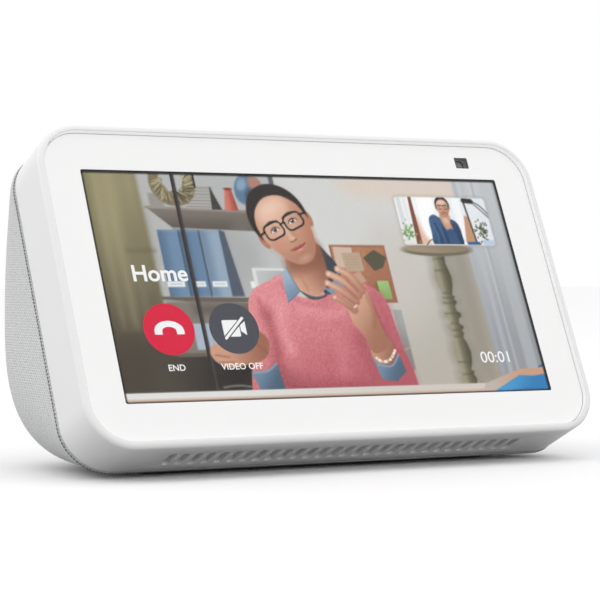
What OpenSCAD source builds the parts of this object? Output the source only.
// Compact smart display: a leaning front housing with a bonded cover glass, a fabric-covered
// rear body, a rear-firing loudspeaker, three push buttons and a sliding camera shutter.
// Millimetres. The origin is on the table, under the middle of the object; the front faces -Y.

/* [Overall] */
// Width across the front
face_w = 148; // [136:0.5:190]
// Height of the front, measured up its own slope
face_h = 86.4; // [80:0.2:110]
// Depth from the lower front edge to the fullest point of the back
depth = 73.6; // [68:0.2:90]
// Angle that the front leans back from vertical
lean = 25; // [20:1:28]
// Corner radius of the front
corner_r = 12; // [10:0.5:16]
// Height of the fullest point of the back
waist_z = 38; // [32:0.5:46]
// Height of the housing's lower back edge above the table
chin_gap = 1.6; // [1.2:0.1:3]

/* [Front housing] */
// Depth of the plastic front housing along the face normal
slab_t = 16; // [15:0.5:22]
// Wall of the front housing
wall = 2; // [1.6:0.1:3]
// Width of the flange around the housing's back
flange_w = 7; // [6:0.5:9]
// Thickness of that flange
flange_t = 1.5; // [1:0.1:2]
// Width of the ledge that the glass is bonded to
ledge_w = 2.6; // [2:0.1:4]
// Thickness of that ledge
ledge_t = 1.5; // [1:0.1:2]

/* [Glass and display] */
// Thickness of the cover glass
glass_t = 1.6; // [1:0.1:2.5]
// Plastic rim left around the glass
glass_margin = 1.7; // [1.2:0.1:3]
// Gap between the glass and the plastic rim
glass_gap = 0.12; // [0.05:0.01:0.3]
// Printed border film
film_t = 0.15; // [0.1:0.05:0.3]
// Bonding tape under the film
tape_t = 0.25; // [0.1:0.05:0.5]
// Visible picture, width
picture_w = 124; // [110:0.5:126]
// Visible picture, height
picture_h = 62; // [50:0.5:64]
// Dark line around the picture
border_line = 0.35; // [0.2:0.05:1]
// Liquid crystal panel, width
panel_w = 128; // [126:0.5:130]
// Liquid crystal panel, height
panel_h = 66; // [64:0.5:68]
// Thickness of the touch sensor
touch_t = 0.5; // [0.3:0.1:0.8]
// Thickness of the liquid crystal panel
panel_t = 1.4; // [1:0.1:2]
// Thickness of the backlight
backlight_t = 2.5; // [1.5:0.1:3]
// Thickness of the steel chassis behind the display
chassis_t = 0.85; // [0.6:0.05:1.2]

/* [Chin slots] */
// Number of slots in the lower face
slot_count = 29; // [5:1:33]
// Distance between slots
slot_pitch = 3.58; // [3:0.02:4]
// Width of a slot
slot_w = 2; // [1:0.1:2.4]
// Length of a slot
slot_l = 7; // [4:0.5:8]
// Distance of the slots' middle behind the front
slot_depth = 9; // [8:0.5:10]

/* [Camera and shutter] */
// Camera, distance right of centre
camera_x = 52.7; // [46:0.1:53]
// Camera, distance above the centre of the face
camera_y = 36.2; // [35.6:0.1:36.6]
// Window in the border, width
window_w = 4.3; // [3:0.1:5]
// Window in the border, height
window_h = 3.3; // [2:0.1:3.4]
// Travel of the shutter slider
shutter_travel = 5.8; // [5.4:0.1:6.4]
// Length of the shutter's knob
knob_l = 11; // [8:0.5:12]
// Width of the shutter's knob
knob_w = 4.4; // [3:0.1:5]
// Width of the shutter's blade
blade_w = 6; // [5.4:0.1:6.4]

/* [Buttons and microphones] */
// Length of a button cap
button_l = 11; // [8:0.5:12]
// Width of a button cap
button_w = 4.8; // [4:0.1:5.4]
// Distance between buttons
button_pitch = 16; // [15:0.5:18]
// Gap around a button cap
button_gap = 0.2; // [0.15:0.01:0.3]
// Height of a button cap above the housing
button_proud = 0.5; // [0.2:0.1:1]
// Travel of a button
button_travel = 0.6; // [0.3:0.05:0.7]
// Distance of the buttons' middle behind the front
button_depth = 9.5; // [9:0.1:10]
// Distance of each microphone from the middle
mic_x = 25; // [24.5:0.5:27]

/* [Rear body] */
// Thickness of the fabric
fabric_t = 1; // [0.6:0.1:1.5]
// Wall of the hard rear shell
shell_wall = 2.6; // [2:0.1:3.5]
// Thickness of the seam gasket between housing and rear body
seam_t = 0.6; // [0.4:0.1:1]
// Plan corner radius at the fullest height
back_r = 25; // [18:1:30]
// How far the sides tuck in at the table
side_tuck = 13; // [8:0.5:16]
// How far the back tucks in at the table
back_tuck = 20; // [14:0.5:24]

/* [Base] */
// Half width of the base plate
base_half = 54; // [48:0.5:56]
// Distance from the seam's foot to the base plate
base_front_gap = 3; // [2.5:0.1:4]
// Depth of the base plate, front to back
base_depth = 31; // [30:0.5:34]
// Thickness of the base plate
base_t = 2.4; // [2:0.1:3]
// How deep the rubber foot sits in the base plate
foot_recess = 0.8; // [0.5:0.1:1]
// Plate left around the rubber foot
foot_margin = 3; // [2:0.5:5]
// Height of the rubber foot below the base plate
foot_stand = 1.2; // [0.8:0.1:1.4]

/* [Loudspeaker] */
// Outer radius of the loudspeaker frame
speaker_r = 23; // [20:0.5:24]
// Outer radius of the cone
cone_r = 16.2; // [13:0.2:16.6]
// Distance from the mouth to the back of the magnet
speaker_h = 19; // [18:0.5:21]
// Cone travel each way
cone_travel = 1.2; // [0.5:0.1:1.3]
// Sound chamber, width
chamber_w = 62; // [56:1:70]
// Sound chamber, height
chamber_h = 52; // [50:1:54]
// Sound chamber, depth along the face normal
chamber_t = 23; // [22.5:0.5:24]
// Wall of the sound chamber
chamber_wall = 1.6; // [1.2:0.1:2]

/* [Main board] */
// Width of the main board
board_w = 104; // [90:1:110]
// Height of the main board
board_h = 54; // [44:1:56]
// Thickness of each circuit board
board_t = 1.2; // [0.8:0.1:1.6]
// Height of the standoffs under the main board
standoff_t = 1.5; // [1:0.1:2]

/* [Ports] */
// Width of the port recess
port_w = 36; // [32:1:44]
// Height of the port recess
port_h = 13; // [12:0.5:15]
// Height of the ports' middle above the table
port_z = 14.5; // [14:0.5:17]
// Distance of the recess floor behind the origin
port_floor_y = 27; // [26:0.5:28]
// Radius of the power inlet
jack_r = 2.9; // [2.5:0.1:3.2]
// Distance of each port from the middle
port_x = 8; // [7:0.5:10]

/* [Hidden] */
$fn = 48;
EPS = 0.01;
CUT = 0.5;
ARC_STEPS = 10;
LOWER_SLICES = 10;
UPPER_SLICES = 8;

// Where the face stands: the middle of its front surface
face_z = chin_gap + face_h / 2 * cos(lean) + slab_t * sin(lean);
face_y = -depth / 2 + face_h / 2 * sin(lean);

// Layers behind the front surface, as depths
film_d = glass_t;
tape_d = film_d + film_t;
ledge_d = tape_d + tape_t;
cavity_d = ledge_d + ledge_t;
panel_d = tape_d + touch_t;
backlight_d = panel_d + panel_t;
chassis_d = backlight_d + backlight_t;
chassis_back_d = chassis_d + chassis_t;
board_d = chassis_back_d + standoff_t;
board_back_d = board_d + board_t;
flange_d = slab_t - flange_t;
body_d = slab_t + seam_t;

// Outlines, as insets from the outer edge of the face
glass_inset = glass_margin + glass_gap;
ledge_inset = glass_margin + ledge_w;
chassis_inset = ledge_inset + 0.7;
shell_inset = fabric_t + shell_wall;

// Screws
screw_r = 0.78;
screw_bore_r = 0.8;
screw_clear_r = 1;
boss_r = 2.3;
chassis_screw_xy = [
    [face_w / 2 - flange_w - 0.8, 24], [face_w / 2 - flange_w - 0.8, -24],
    [34, face_h / 2 - 7.4], [34, 7.2 - face_h / 2]
];
shell_screw_xy = [face_w / 2 - corner_r + 4.95, face_h / 2 - corner_r + 4.95];
board_screw_xy = [board_w / 2 - 4, board_h / 2 - 4];
chamber_screw_xy = [face_w / 2 - 5.6, 5];

// Heights over the housing's top wall, whose outer surface is 0
button_lip_t = 1;
button_lip = 0.7;
lip_gap = 0.05;
top_board_t = 1;
switch_t = 1.8;
switch_top = -wall - lip_gap - button_lip_t - button_travel - 0.25;
top_board_z = switch_top - switch_t;
stem_r = 0.65;
stem_end = top_board_z + 0.1 + button_travel + 0.1;
top_board_w = flange_d - 7.5;
bracket_t = 2;

// Shutter, at rest beside the camera window
shutter_x = camera_x - shutter_travel;
knob_recess = 0.9;
shutter_gap = 0.1;
arm_t = 1.1;
slider_slot_l = shutter_travel + 6;
blade_t = 0.45;
blade_d = ledge_d + 0.15;

// Main board's middle, and what stands on its back
board_y = -3;
can_a = [18, 5, 34, 26];
can_b = [-14, 5, 22, 22];
can_t = 2.4;
pad_t = 0.7;
spreader_t = 1.1;

// Loudspeaker: heights from its mouth towards the front
chamber_d = body_d + 0.5;
chamber_end_d = chamber_d + chamber_t;
mouth_d = chamber_end_d + 1.2;
flange_h = 1.2;
ring_h = 10;
washer_h = 11;
magnet_h = 12.5;
yoke_h = speaker_h - 1.5;
coil_r = 5.1;
coil_t = 0.3;

// Rear body: the seam's foot and top, and the arc of the upper back
function seam_y(z) = face_y + (z - face_z + body_d * sin(lean)) * tan(lean) + body_d * cos(lean);
seam_top_z = face_z + face_h / 2 * cos(lean) - body_d * sin(lean);
seam_top_y = face_y + face_h / 2 * sin(lean) + body_d * cos(lean);
back_y = depth / 2;
arc_over = 1.1;
arc_h = arc_over * (seam_top_z - waist_z);
arc_w = (back_y - seam_top_y) / (1 - sqrt(1 - 1 / pow(arc_over, 2)));
corner_spread = 8;
corner_shrink = 12;

// Share of the tuck reached at height z below the fullest height
function tuck(z) = 1 - pow(max(0, 1 - pow((waist_z - z) / (waist_z - chin_gap), 3)), 0.45);
function face_up(z) = (z - face_z + body_d * sin(lean)) / cos(lean);
function corner_drop(z) = max(0, abs(face_up(z)) - (face_h / 2 - corner_r));
function seam_half(z) =
    face_w / 2 - corner_r + sqrt(max(0, pow(corner_r, 2) - pow(min(corner_r, corner_drop(z)), 2)));
function back_at(z) = z > waist_z
    ? back_y - arc_w * (1 - sqrt(1 - pow((z - waist_z) / arc_h, 2)))
    : back_y - back_tuck * tuck(z);
function half_at(z) = z > waist_z ? seam_half(z) : face_w / 2 - side_tuck * tuck(z);
function radius_at(z) = z > waist_z
    ? back_r - corner_shrink * pow((z - waist_z) / (seam_top_z - waist_z), 2)
    : back_r + corner_spread * tuck(z);

// Outline of a level slice: square at the front, round at the back
function arc_points(cx, cy, r, from) =
    [for (i = [0:ARC_STEPS]) [cx + r * cos(from + 90 * i / ARC_STEPS), cy + r * sin(from + 90 * i / ARC_STEPS)]];
function slice_points(half, front, back, r) = concat(
    [[-half, front], [half, front]],
    arc_points(half - r, back - r, r, 0),
    arc_points(r - half, back - r, r, 90)
);

// Heights of the slices, closer together where the form turns quickest
slice_heights = concat(
    [for (i = [0:LOWER_SLICES]) waist_z - (waist_z - chin_gap) * sin(90 * i / LOWER_SLICES)],
    [for (i = [1:UPPER_SLICES]) waist_z + (seam_top_z - waist_z) * sin(90 * i / (UPPER_SLICES + 1))]
);

// ---- Frames ----

// The face: x to the right, y up the slope, z out of the glass
module at_face(d = 0) {
    translate([0, face_y, face_z]) rotate([90 - lean, 0, 0]) translate([0, 0, -d]) children();
}

// The housing's top wall: x to the right, y backwards, z out of the wall
module at_top() {
    at_face(button_depth) translate([0, face_h / 2, 0]) rotate([-90, 0, 0]) children();
}

// The loudspeaker: z runs from its mouth towards the front
module at_speaker() {
    at_face(mouth_d) children();
}

module four(xy) {
    for (sx = [-1, 1], sy = [-1, 1]) translate([sx * xy[0], sy * xy[1], 0]) children();
}

// ---- Outlines and simple solids ----

module rounded(w, h, r) {
    square([w - 2 * r, h], center = true);
    square([w, h - 2 * r], center = true);
    for (sx = [-1, 1], sy = [-1, 1]) translate([sx * (w / 2 - r), sy * (h / 2 - r)]) circle(r);
}

module plate(w, h, r, t) {
    linear_extrude(t) rounded(w, h, r);
}

// A plate with the face's outline, inset, from depth d to depth d + t
module face_plate(inset, d, t) {
    at_face(d + t) plate(face_w - 2 * inset, face_h - 2 * inset, corner_r - inset, t);
}

module pill(l, w, t) {
    linear_extrude(t) {
        square([l - w, w], center = true);
        for (s = [-1, 1]) translate([s * (l - w) / 2, 0]) circle(w / 2);
    }
}

module ring(r_out, r_in, t) {
    difference() {
        cylinder(r = r_out, h = t);
        translate([0, 0, -CUT]) cylinder(r = r_in, h = t + 2 * CUT);
    }
}

// A flat cable: a path in the side view, given as [up, depth] points, w wide and t thick
module face_ribbon(x, w, path, t) {
    back = [for (i = [len(path) - 1:-1:0]) path[i] + t * ribbon_side(path, i)];
    at_face() translate([x - w / 2, 0, 0]) rotate([90, 0, 90]) linear_extrude(w)
        polygon([for (p = concat(path, back)) [p[0], -p[1]]]);
}
function unit(v) = v / norm(v);
function normal_of(v) = [-v[1], v[0]];
function ribbon_side(path, i) =
    let (a = unit(path[min(i + 1, len(path) - 1)] - path[min(i, len(path) - 2)]))
    let (b = unit(path[max(i, 1)] - path[max(i - 1, 0)]))
    let (n = unit(normal_of(a) + normal_of(b)))
    n / (n * normal_of(a));

module screw(head_r, head_t, length) {
    cylinder(r = head_r, h = head_t);
    translate([0, 0, -length]) cylinder(r = screw_r, h = length + EPS);
}

// ---- Rear body's outer form, shrunk by an inset ----

// A hollow gets a lead, so that it breaks through the seam plane
module body_form(inset, lead = 0) {
    low = chin_gap + inset;
    squeeze = (seam_top_z - chin_gap - 2 * inset) / (seam_top_z - chin_gap);
    hull() {
        face_plate(inset, body_d - lead, lead + EPS);
        for (z = slice_heights) {
            front = seam_y(z) + EPS + (inset > 0 ? inset * 0.5 : 0);
            back = max(back_at(z) - inset, front + 2 * EPS);
            half = half_at(z) - inset;
            r = min(radius_at(z) - inset, back - front - EPS);
            translate([0, 0, low + (z - chin_gap) * squeeze])
                linear_extrude(EPS) polygon(slice_points(half, front, back, max(r, EPS)));
        }
    }
}

// Base plate's outline: small corners in front, large ones behind
base_front_y = seam_y(chin_gap) + base_front_gap;
base_front_r = 6;
base_back_r = base_depth - base_front_r - 1;
module base_outline(inset) {
    half = base_half - inset;
    front = base_front_y + inset;
    back = base_front_y + base_depth - inset;
    rf = base_front_r - min(inset, base_front_r - 1);
    rb = base_back_r - inset;
    translate([-half + rf, front]) square([2 * (half - rf), back - rb - front]);
    translate([-half, front + rf]) square([2 * half, back - rb - front - rf]);
    translate([-half + rb, front]) square([2 * (half - rb), back - front]);
    for (s = [-1, 1]) {
        translate([s * (half - rf), front + rf]) circle(rf);
        translate([s * (half - rb), back - rb]) intersection() {
            circle(rb);
            translate([s > 0 ? 0 : -rb, 0]) square(rb);
        }
    }
}

// Base screws: two near the front corners, two on the rear arcs
base_boss_r = 2.6;
base_boss_in = 3.5;
base_arc = base_back_r - base_boss_in;
base_screw_xy = [
    [base_half - base_boss_in, base_front_y + base_front_r],
    [base_half - base_back_r + base_arc * cos(60), base_front_y + base_depth - base_back_r + base_arc * sin(60)]
];
base_top = foot_stand + base_t;
base_lip = 6.5;
module at_base_screws() {
    for (p = base_screw_xy, s = [-1, 1]) translate([s * p[0], p[1], 0]) children();
}

// Port recess, square to the back
module port_block(grow, from_y, to_y) {
    translate([0, to_y, port_z]) rotate([90, 0, 0])
        plate(port_w + 2 * grow, port_h + 2 * grow, 3 + grow, to_y - from_y);
}

// ---- Front housing ----

module housing_hollow() {
    face_plate(glass_margin, -CUT, ledge_d + CUT);
    face_plate(ledge_inset, 0, cavity_d + CUT);
    face_plate(wall, cavity_d, flange_d - cavity_d);
    face_plate(flange_w, flange_d - CUT, flange_t + 2 * CUT);
}

module chin_slots() {
    first = -(slot_count - 1) / 2 * slot_pitch;
    at_face(slot_depth) translate([0, -face_h / 2, 0]) rotate([90, 0, 0])
        for (i = [0:slot_count - 1])
            translate([first + i * slot_pitch, 0, -wall - CUT]) rotate([0, 0, 90])
                pill(slot_l, slot_w, wall + 2 * CUT);
}

module top_openings() {
    at_top() {
        for (i = [-1:1]) translate([i * button_pitch, 0, -wall - CUT])
            pill(button_l + 2 * button_gap, button_w + 2 * button_gap, wall + 2 * CUT);
        for (s = [-1, 1]) translate([s * mic_x, 0, -wall - CUT]) cylinder(r = 0.5, h = wall + 2 * CUT);
        translate([shutter_x + shutter_travel / 2, 0, -knob_recess])
            pill(knob_l + shutter_travel + 0.6, knob_w + 0.6, knob_recess + CUT);
        translate([shutter_x + shutter_travel / 2, 0, -wall - CUT])
            pill(slider_slot_l, 2.4, wall + 2 * CUT);
    }
}

// Room in the glass ledge for the shutter's arm and blade
module shutter_passage() {
    passage_w = blade_w + shutter_travel + 0.8;
    depth_back = cavity_d + CUT;
    at_face(depth_back) translate([shutter_x + shutter_travel / 2 - passage_w / 2, face_h / 2 - ledge_inset - 2, 0])
        cube([passage_w, ledge_inset + 2 - wall, depth_back - ledge_d]);
}

module chassis_bosses() {
    at_face(slab_t - CUT) for (p = chassis_screw_xy, s = [-1, 1]) translate([s * p[0], p[1], 0])
        cylinder(r = boss_r, h = slab_t - CUT - chassis_back_d);
}

module front_housing() {
    color("white") difference() {
        union() {
            difference() {
                face_plate(0, 0, slab_t);
                housing_hollow();
            }
            chassis_bosses();
        }
        chin_slots();
        top_openings();
        shutter_passage();
        at_face(flange_d - 1) for (p = chassis_screw_xy, s = [-1, 1]) translate([s * p[0], p[1], 0])
            cylinder(r = screw_bore_r, h = flange_d);
        at_face(slab_t + CUT) four(shell_screw_xy) cylinder(r = screw_clear_r, h = flange_t + 2 * CUT);
        at_face(slab_t + CUT) four(chamber_screw_xy) cylinder(r = screw_bore_r, h = flange_t + 2 * CUT);
    }
}

module cover_glass() {
    color([0.9, 0.95, 1, 0.4]) face_plate(glass_inset, 0, glass_t);
}

module border_film() {
    color("white") difference() {
        face_plate(glass_inset + 0.15, film_d, film_t);
        at_face(film_d + film_t + CUT) {
            plate(picture_w + 2 * border_line, picture_h + 2 * border_line, 0.6, film_t + 2 * CUT);
            translate([camera_x, camera_y, 0]) plate(window_w, window_h, 0.3, film_t + 2 * CUT);
        }
    }
}

module glass_tape() {
    color("dimgray") difference() {
        face_plate(glass_inset + 0.15, tape_d, tape_t);
        face_plate(ledge_inset, tape_d - CUT, tape_t + 2 * CUT);
    }
}

// ---- Display ----

module touch_sensor() {
    color("silver") at_face(panel_d) plate(panel_w, panel_h, 1, touch_t);
}

module display_panel() {
    color("black") at_face(backlight_d) plate(panel_w, panel_h, 1, panel_t);
}

module backlight() {
    color("gainsboro") at_face(chassis_d) plate(panel_w, panel_h, 1, backlight_t);
}

module display_chassis() {
    notch_h = 6;
    color("lightsteelblue") difference() {
        union() {
            face_plate(chassis_inset, chassis_d, chassis_t);
            at_face(board_d) translate([0, board_y, 0]) four(board_screw_xy)
                cylinder(r = 2.2, h = standoff_t + EPS);
        }
        at_face(chassis_back_d + CUT) {
            for (p = chassis_screw_xy, s = [-1, 1]) translate([s * p[0], p[1], 0])
                cylinder(r = screw_clear_r, h = chassis_t + 2 * CUT);
            translate([camera_x - 3.6, camera_y - 2.8, 0]) cube([7.2, notch_h, chassis_t + 2 * CUT]);
            translate([8, -face_h / 2, 0]) cube([24, face_h / 2 - panel_h / 2 - 1.4, chassis_t + 2 * CUT]);
        }
        at_face(board_d + CUT) translate([0, board_y, 0]) four(board_screw_xy)
            cylinder(r = screw_bore_r, h = standoff_t + chassis_t + 2 * CUT);
    }
}

module chassis_screws() {
    color("dimgray") at_face(chassis_d) for (p = chassis_screw_xy, s = [-1, 1])
        translate([s * p[0], p[1], 0]) screw(1.6, 0.9, 5);
}

module display_flex() {
    edge = -panel_h / 2;
    color("orange") face_ribbon(20, 20, [
        [edge, panel_d + 0.5], [edge - 2.2, panel_d + 0.5], [edge - 2.2, board_back_d + 0.01], [edge + 6, board_back_d + 0.01]
    ], 0.25);
}

// ---- Camera ----

camera_front_d = blade_d + blade_t + 0.3;
module camera_module() {
    color([0.12, 0.12, 0.13]) at_face(chassis_back_d) translate([camera_x, camera_y, 0]) difference() {
        union() {
            translate([-3.2, -2.3, 0]) cube([6.4, 4.6, chassis_back_d - camera_front_d - 0.5]);
            cylinder(r = 2, h = chassis_back_d - camera_front_d);
        }
        translate([0, 0, chassis_back_d - camera_front_d - 1]) cylinder(r = 1.5, h = 1 + CUT);
    }
}

module camera_lens() {
    color("midnightblue") at_face(camera_front_d + 1) translate([camera_x, camera_y, 0]) cylinder(r = 1.5, h = 0.6);
}

module camera_board() {
    color("darkgreen") at_face(chassis_back_d + 0.6) translate([camera_x - 7, camera_y - 2.6, 0]) cube([14, 5.2, 0.6]);
}

module camera_flex() {
    low = board_y + board_h / 2;
    color("orange") face_ribbon(camera_x - 5, 5, [
        [low - 1.8, board_back_d + 0.01], [low + 1, board_back_d + 0.01],
        [camera_y - 5, chassis_back_d + 0.61], [camera_y, chassis_back_d + 0.61]
    ], 0.25);
}

// The slider's knob sits in the top wall; its arm reaches forward to the blade behind the glass
module shutter_knob() {
    // Under the wall, the slider is long enough to keep its slot covered
    cover_l = shutter_travel + slider_slot_l + 1.6;
    color("whitesmoke") at_top() translate([shutter_x, 0, 0]) {
        difference() {
            translate([0, 0, shutter_gap - knob_recess]) pill(knob_l, knob_w, knob_recess + 0.5);
            for (i = [-2:2]) translate([i * 1.2 - 0.25, -1.4, 0.3]) cube([0.5, 2.8, 0.5]);
        }
        translate([-2, -1, -wall - shutter_gap - EPS]) cube([4, 2, wall + 2 * shutter_gap - knob_recess + 0.1]);
        translate([-cover_l / 2, -1.6, -wall - shutter_gap - arm_t]) cube([cover_l, 3.2, arm_t]);
    }
}

module shutter_blade() {
    reach = face_h / 2 - (camera_y - window_h / 2 - 0.9);
    top = -wall - shutter_gap;
    front = blade_d - button_depth;
    color("whitesmoke") at_top() translate([shutter_x - blade_w / 2, 0, 0]) {
        translate([0, front, top - arm_t]) cube([blade_w, -1.6 - front, arm_t]);
        translate([0, front, -reach]) cube([blade_w, blade_t, reach + top]);
    }
}

// ---- Buttons and microphones ----

module button_cap(i) {
    lip_top = -wall - lip_gap;
    at_top() translate([i * button_pitch, 0, 0]) {
        translate([0, 0, lip_top - EPS]) pill(button_l, button_w, button_proud - lip_top + EPS);
        translate([0, 0, lip_top - button_lip_t])
            pill(button_l + 2 * button_lip, button_w + 2 * button_lip, button_lip_t);
        translate([0, 0, stem_end]) cylinder(r = stem_r, h = lip_top - button_lip_t - stem_end + EPS);
    }
}

module mute_button() {
    color("white") button_cap(-1);
}

module volume_down_button() {
    color("white") button_cap(0);
}

module volume_up_button() {
    color("white") button_cap(1);
}

module button_switches() {
    color("silver") at_top() for (i = [-1:1]) translate([i * button_pitch, 0, top_board_z]) difference() {
        translate([-2, -1.9, 0]) cube([4, 3.8, switch_t]);
        translate([0, 0, 0.1]) cylinder(r = stem_r + 0.25, h = switch_t);
    }
}

module button_board() {
    color("darkgreen") at_top() translate([-mic_x - 4, flange_d - button_depth - top_board_w, top_board_z - top_board_t])
        cube([2 * mic_x + 8, top_board_w, top_board_t]);
}

module button_bracket() {
    color("dimgray") at_top() {
        translate([-14, flange_d - button_depth - 2, top_board_z - top_board_t - bracket_t])
            cube([mic_x + 14, 2, bracket_t]);
        for (x = [-12, mic_x - 4]) translate([x, flange_d - button_depth - 5, top_board_z - top_board_t - bracket_t])
            cube([2, 5, bracket_t]);
    }
}

module button_flex() {
    edge = face_h / 2 + top_board_z - top_board_t;
    color("orange") face_ribbon(-22, 8, [
        [board_y + board_h / 2 - 4, board_back_d + 0.01], [edge, board_back_d + 0.01]
    ], 0.25);
}

mic_t = 1;
module microphones() {
    color("goldenrod") at_top() for (s = [-1, 1]) translate([s * mic_x - 1.7, -1.4, top_board_z]) cube([3.4, 2.8, mic_t]);
}

module microphone_gaskets() {
    color("black") at_top() for (s = [-1, 1]) translate([s * mic_x, 0, top_board_z + mic_t])
        ring(1.35, 0.5, -wall - top_board_z - mic_t);
}

module vent_mesh() {
    w = (slot_count - 1) * slot_pitch + slot_w + 3;
    color([0.15, 0.15, 0.15]) at_face(slot_depth + slot_l / 2 + 0.9) translate([-w / 2, wall - face_h / 2, 0])
        cube([w, 0.3, slot_l + 1.8]);
}

// ---- Main board ----

module main_board() {
    color("seagreen") at_face(board_back_d) translate([0, board_y, 0]) difference() {
        plate(board_w, board_h, 2, board_t);
        translate([0, 0, -CUT]) four(board_screw_xy) cylinder(r = screw_clear_r, h = board_t + 2 * CUT);
    }
}

module board_screws() {
    color("silver") at_face(board_back_d) translate([0, board_y, 0]) four(board_screw_xy) mirror([0, 0, 1])
        screw(1.6, 0.9, board_t + standoff_t);
}

module can(c) {
    translate([c[0] - c[2] / 2, c[1] - c[3] / 2, -can_t]) cube([c[2], c[3], can_t]);
}

module shield_cans() {
    color("silver") at_face(board_back_d) {
        can(can_a);
        can(can_b);
    }
}

module board_connectors() {
    color("ivory") at_face(board_back_d + 1.6) {
        translate([-40, -22, 0]) cube([8, 4, 1.6]);
        translate([-44, 6, 0]) cube([4, 10, 1.6]);
        translate([40, 4, 0]) cube([4, 8, 1.6]);
    }
}

module thermal_pad() {
    color("lightpink") at_face(board_back_d + can_t + pad_t)
        translate([can_a[0] - 12, can_a[1] - 10, 0]) cube([24, 20, pad_t]);
}

module heat_spreader() {
    color("silver") at_face(board_back_d + can_t + pad_t + spreader_t)
        translate([can_a[0] - 6, can_a[1], 0]) plate(60, 36, 2, spreader_t);
}

module antennas() {
    color("peru") for (s = [-1, 1]) at_face(13) translate([s * (face_w / 2 - wall - 0.2) - 0.2, -20, 0])
        cube([0.4, 16, 7]);
}

module antenna_leads() {
    gap = face_w / 2 - wall - 0.4 - board_w / 2;
    color("black") for (s = [-1, 1]) at_face(board_d + board_t / 2)
        translate([s * (board_w / 2 + gap / 2), -12, 0]) rotate([0, 90, 0]) cylinder(r = 0.5, h = gap, center = true);
}

// ---- Rear body ----

module seam_gasket() {
    color("slategray") difference() {
        face_plate(fabric_t - 0.4, slab_t, seam_t);
        face_plate(shell_inset, slab_t - CUT, seam_t + 2 * CUT);
    }
}

shell_boss_t = 4.4;
module shell_slots() {
    for (i = [0:7]) translate([0, depth / 2 + CUT, 25 + 4 * i]) rotate([90, 0, 0]) pill(44, 2, 14);
}

module shell_bosses() {
    intersection() {
        at_face(body_d + shell_boss_t) four(shell_screw_xy) cylinder(r = 2.6, h = shell_boss_t);
        body_form(fabric_t + 0.5);
    }
    at_base_screws() translate([0, 0, base_top]) cylinder(r = base_boss_r, h = 6.4);
    for (s = [-1, 1]) translate([s * (port_w / 2 - 4), port_floor_y - 7, chin_gap + shell_inset - 1])
        cylinder(r = 2, h = port_z - 5.5 - chin_gap - shell_inset + 1);
}

module rear_shell() {
    color("gainsboro") difference() {
        union() {
            difference() {
                body_form(fabric_t);
                body_form(shell_inset, CUT);
            }
            shell_bosses();
        }
        linear_extrude(base_top) base_outline(-0.1);
        linear_extrude(base_top + 3) base_outline(base_lip);
        at_base_screws() cylinder(r = screw_bore_r, h = base_top + 5.4);
        at_face(body_d + shell_boss_t - 0.4) four(shell_screw_xy) cylinder(r = screw_bore_r, h = shell_boss_t + CUT);
        port_block(0, port_floor_y - 6, depth);
        shell_slots();
    }
}

module shell_screws() {
    color("dimgray") at_face(flange_d) four(shell_screw_xy) screw(1.6, 0.9, flange_t + seam_t + shell_boss_t - 1);
}

module rear_fabric() {
    color("lightgray") difference() {
        body_form(0);
        body_form(fabric_t, CUT);
        linear_extrude(base_top + 2) base_outline(-0.1);
        port_block(0, port_floor_y - 6, depth);
    }
}

// ---- Base ----

module base_plate() {
    color("gainsboro") difference() {
        translate([0, 0, foot_stand]) linear_extrude(base_t) base_outline(0);
        linear_extrude(foot_stand + foot_recess) base_outline(foot_margin);
        at_base_screws() {
            cylinder(r = 1.9, h = foot_stand + foot_recess + 1);
            cylinder(r = screw_clear_r, h = base_top + CUT);
        }
    }
}

module base_screws() {
    color("dimgray") at_base_screws() translate([0, 0, foot_stand + foot_recess + 1]) mirror([0, 0, 1])
        screw(1.7, 0.9, base_t - foot_recess + 4);
}

module rubber_foot() {
    color([0.25, 0.25, 0.26]) linear_extrude(foot_stand + foot_recess) base_outline(foot_margin + 0.1);
}

// ---- Loudspeaker ----

ear_d = slab_t;
ear_t = 2;
module sound_chamber() {
    ear_w = face_w - 2 * shell_inset - 0.6;
    color("dimgray") difference() {
        union() {
            at_face(chamber_end_d) plate(chamber_w, chamber_h, 8, chamber_t);
            at_face(ear_d + ear_t) translate([-ear_w / 2, -8, 0]) cube([ear_w, 16, ear_t]);
        }
        at_face(chamber_end_d - chamber_wall)
            plate(chamber_w - 2 * chamber_wall, chamber_h - 2 * chamber_wall, 8 - chamber_wall, chamber_t - 2 * chamber_wall);
        at_face(chamber_end_d + CUT) cylinder(r = speaker_r - 2.5, h = chamber_wall + 2 * CUT);
        at_face(chamber_end_d + CUT) rotate([0, 0, 45]) four([speaker_r * 0.67, speaker_r * 0.67])
            cylinder(r = screw_bore_r, h = chamber_wall + 2 * CUT);
        at_face(ear_d + ear_t + CUT) four(chamber_screw_xy) cylinder(r = screw_clear_r, h = ear_t + 2 * CUT);
        at_face(ear_d + CUT) translate([-chamber_w / 2 + 3, -8.5, 0]) cube([chamber_w - 6, 17, CUT + EPS]);
    }
}

module chamber_screws() {
    color("dimgray") at_face(ear_d + ear_t) four(chamber_screw_xy) mirror([0, 0, 1]) screw(1.6, 0.9, ear_t + 1.4);
}

module speaker_frame() {
    wall_t = 1;
    color("silver") at_speaker() difference() {
        rotate_extrude() polygon([
            [speaker_r - 3.7, 0], [speaker_r, 0], [speaker_r, flange_h], [speaker_r - 2.6, flange_h],
            [speaker_r - 2.6, 3.4], [13.6, ring_h + wall_t], [7, ring_h + wall_t], [7, ring_h], [13, ring_h],
            [speaker_r - 3.7, 3]
        ]);
        rotate([0, 0, 45]) translate([0, 0, -CUT]) four([speaker_r * 0.67, speaker_r * 0.67])
            cylinder(r = screw_clear_r, h = flange_h + 2 * CUT);
    }
}

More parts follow.
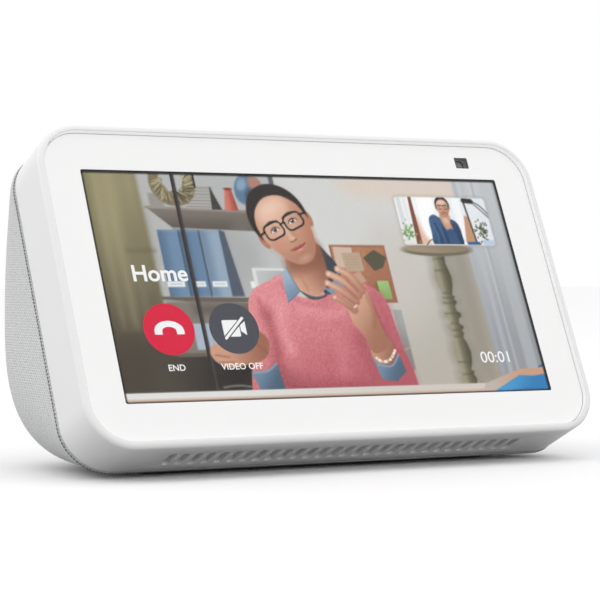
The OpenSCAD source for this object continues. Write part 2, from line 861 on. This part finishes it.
module speaker_screws() {
    color("dimgray") at_speaker() rotate([0, 0, 45]) four([speaker_r * 0.67, speaker_r * 0.67])
        mirror([0, 0, 1]) screw(1.3, 0.6, flange_h + chamber_wall);
}

module speaker_surround() {
    color([0.1, 0.1, 0.1]) at_speaker() rotate_extrude() polygon([
        [cone_r + 0.2, 2.4], [cone_r + 0.2, 1.8], [cone_r + 0.9, 1.1], [cone_r + 2.1, 1.1], [speaker_r - 3.9, 1.8],
        [speaker_r - 3.9, 2.4], [cone_r + 2, 1.7], [cone_r + 1, 1.7]
    ]);
}

cone_neck_h = 6;
cone_rim_h = 2.2;
module speaker_cone() {
    color([0.2, 0.2, 0.22]) at_speaker() rotate_extrude() polygon([
        [cone_r, cone_rim_h], [cone_r, cone_rim_h + 0.5], [coil_r + coil_t, cone_neck_h + 0.5],
        [coil_r + coil_t, cone_neck_h]
    ]);
}

module dust_cap() {
    color([0.15, 0.15, 0.16]) at_speaker() translate([0, 0, cone_neck_h - 1.2]) rotate_extrude() polygon(concat(
        [[coil_r + 1.5, 0.7], [0, -0.3], [0, -0.8]],
        [for (a = [80:-10:10]) [(coil_r + 1.9) * cos(a), 0.6 - 1.4 * sin(a)]],
        [[coil_r + 2.0, 0.6]]
    ));
}

module voice_coil() {
    color("chocolate") at_speaker() translate([0, 0, cone_neck_h - 0.6]) ring(coil_r + coil_t, coil_r, 8.6);
}

module speaker_spider() {
    color("khaki") at_speaker() translate([0, 0, 8.2]) ring(12.6, coil_r + coil_t + 0.2, 0.5);
}

module speaker_magnet() {
    color([0.2, 0.2, 0.2]) at_speaker() translate([0, 0, magnet_h]) ring(14, 7.5, yoke_h - magnet_h);
}

module magnet_yoke() {
    color("silver") at_speaker() {
        translate([0, 0, washer_h]) ring(12.5, coil_r + coil_t + 0.25, magnet_h - washer_h);
        translate([0, 0, yoke_h]) cylinder(r = 12.5, h = speaker_h - yoke_h);
        translate([0, 0, washer_h]) cylinder(r = coil_r - 0.2, h = yoke_h - washer_h + EPS);
    }
}

module speaker_gasket() {
    color([0.2, 0.2, 0.2]) at_face(mouth_d + 0.8) difference() {
        ring(speaker_r, speaker_r - 3.2, 0.8);
        rotate([0, 0, 45]) translate([0, 0, -CUT]) four([speaker_r * 0.67, speaker_r * 0.67])
            cylinder(r = 1.5, h = 0.8 + 2 * CUT);
    }
}

module speaker_leads() {
    color("firebrick") at_face(chamber_d) for (x = [-27, -24]) translate([x, -18, 0])
        cylinder(r = 0.5, h = chamber_d - board_back_d);
}

// ---- Ports ----

port_wall = 1.2;
inlet_l = 9.5;
module port_panel() {
    color("white") difference() {
        intersection() {
            port_block(-0.1, port_floor_y - port_wall, depth);
            body_form(0.15);
        }
        port_block(-port_wall, port_floor_y, depth);
        translate([-port_x, port_floor_y + CUT, port_z]) rotate([90, 0, 0]) cylinder(r = jack_r, h = port_wall + 2 * CUT);
        translate([port_x - 4.2, port_floor_y - port_wall - CUT, port_z - 1.6]) cube([8.4, port_wall + 2 * CUT, 3.2]);
    }
}

port_board_z = port_z - 5.5;
module power_inlet() {
    back = port_floor_y - port_wall;
    color([0.1, 0.1, 0.1]) difference() {
        translate([-port_x - 4.5, back - inlet_l, port_board_z + board_t]) cube([9, inlet_l, 8.6]);
        translate([-port_x, back + CUT, port_z]) rotate([90, 0, 0]) cylinder(r = jack_r, h = inlet_l - 1 + CUT);
    }
}

module inlet_pin() {
    color("silver") translate([-port_x, port_floor_y - port_wall - 1, port_z]) rotate([90, 0, 0])
        cylinder(r = 0.85, h = inlet_l - 2);
}

module usb_socket() {
    back = port_floor_y - port_wall;
    color("silver") difference() {
        translate([port_x - 3.9, back - 5.6, port_board_z + board_t]) cube([7.8, 5.6, port_z + 1.4 - port_board_z - board_t]);
        translate([port_x - 3.4, back - 4.6, port_z - 0.9]) cube([6.8, 4.6 + CUT, 1.8]);
    }
}

module port_board() {
    color("darkgreen") translate([-port_w / 2, port_floor_y - port_wall - 13, port_board_z]) cube([port_w / 2 + chamber_w / 2 + 9, 12, board_t]);
}

// Flat cable beside the sound chamber, from the port board up to the main board
module port_flex() {
    w = 6;
    start = [port_floor_y - port_wall - 12, port_board_z + board_t];
    run_d = board_back_d;
    up = board_y - board_h / 2 + 6;
    end = [face_y + up * sin(lean) + run_d * cos(lean), face_z + up * cos(lean) - run_d * sin(lean)];
    side = [sin(lean), cos(lean)] * 6;
    color("orange") translate([chamber_w / 2 + 1, 0, 0]) rotate([90, 0, 90]) linear_extrude(w) polygon([
        start, start + [3, 0], start + [3, 0.3], start + [0, 0.3], end + [0.3, 0], end + side + [0.3, -0.13], end + side, end
    ]);
}

front_housing();
cover_glass();
border_film();
glass_tape();
touch_sensor();
display_panel();
backlight();
display_chassis();
chassis_screws();
display_flex();
camera_module();
camera_lens();
camera_board();
camera_flex();
shutter_knob();
shutter_blade();
mute_button();
volume_down_button();
volume_up_button();
button_switches();
button_board();
button_bracket();
button_flex();
microphones();
microphone_gaskets();
vent_mesh();
main_board();
board_screws();
shield_cans();
board_connectors();
thermal_pad();
heat_spreader();
antennas();
antenna_leads();
seam_gasket();
rear_shell();
shell_screws();
rear_fabric();
base_plate();
base_screws();
rubber_foot();
sound_chamber();
chamber_screws();
speaker_frame();
speaker_screws();
speaker_surround();
speaker_cone();
dust_cap();
voice_coil();
speaker_spider();
speaker_magnet();
magnet_yoke();
speaker_gasket();
speaker_leads();
port_panel();
power_inlet();
inlet_pin();
usb_socket();
port_board();
port_flex();
